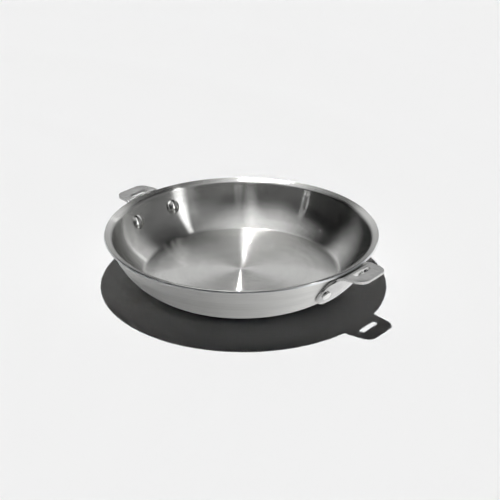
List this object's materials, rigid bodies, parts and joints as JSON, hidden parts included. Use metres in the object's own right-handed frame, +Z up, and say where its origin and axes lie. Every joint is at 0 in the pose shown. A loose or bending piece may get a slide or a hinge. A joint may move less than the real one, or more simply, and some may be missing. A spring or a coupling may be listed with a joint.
{
  "type": "frying pan",
  "caption": "Round clad-steel frying pan with a flat base, sloping wall, flared pouring lip and, on each side, a riveted sheet-steel tab with a slot for a clip-on handle.",
  "frame": {"origin": "centre of the flat underside of the base, on the surface that the pan stands on", "axes": "+Z up along the pan's axis, +X through the middle of the right bracket's tab, +Y across the pan, to the left of +X seen from above"},
  "size_m": [0.3056, 0.26, 0.0456],
  "materials": {
    "outside_steel": "brushed round the pan",
    "core_aluminium": "rolled",
    "cooking_steel": "brushed in rings",
    "bracket_steel": "satin, tumbled",
    "rivet_steel": "polished"
  },
  "bodies": {
    "root": {"outer_skin": "outside_steel", "lower_bond_ply": "core_aluminium", "core_ply": "core_aluminium", "upper_bond_ply": "core_aluminium", "cooking_surface": "cooking_steel", "right_bracket": "bracket_steel", "left_bracket": "bracket_steel", "right_front_rivet": "rivet_steel", "right_back_rivet": "rivet_steel", "left_front_rivet": "rivet_steel", "left_back_rivet": "rivet_steel"}
  },
  "joints": []
}
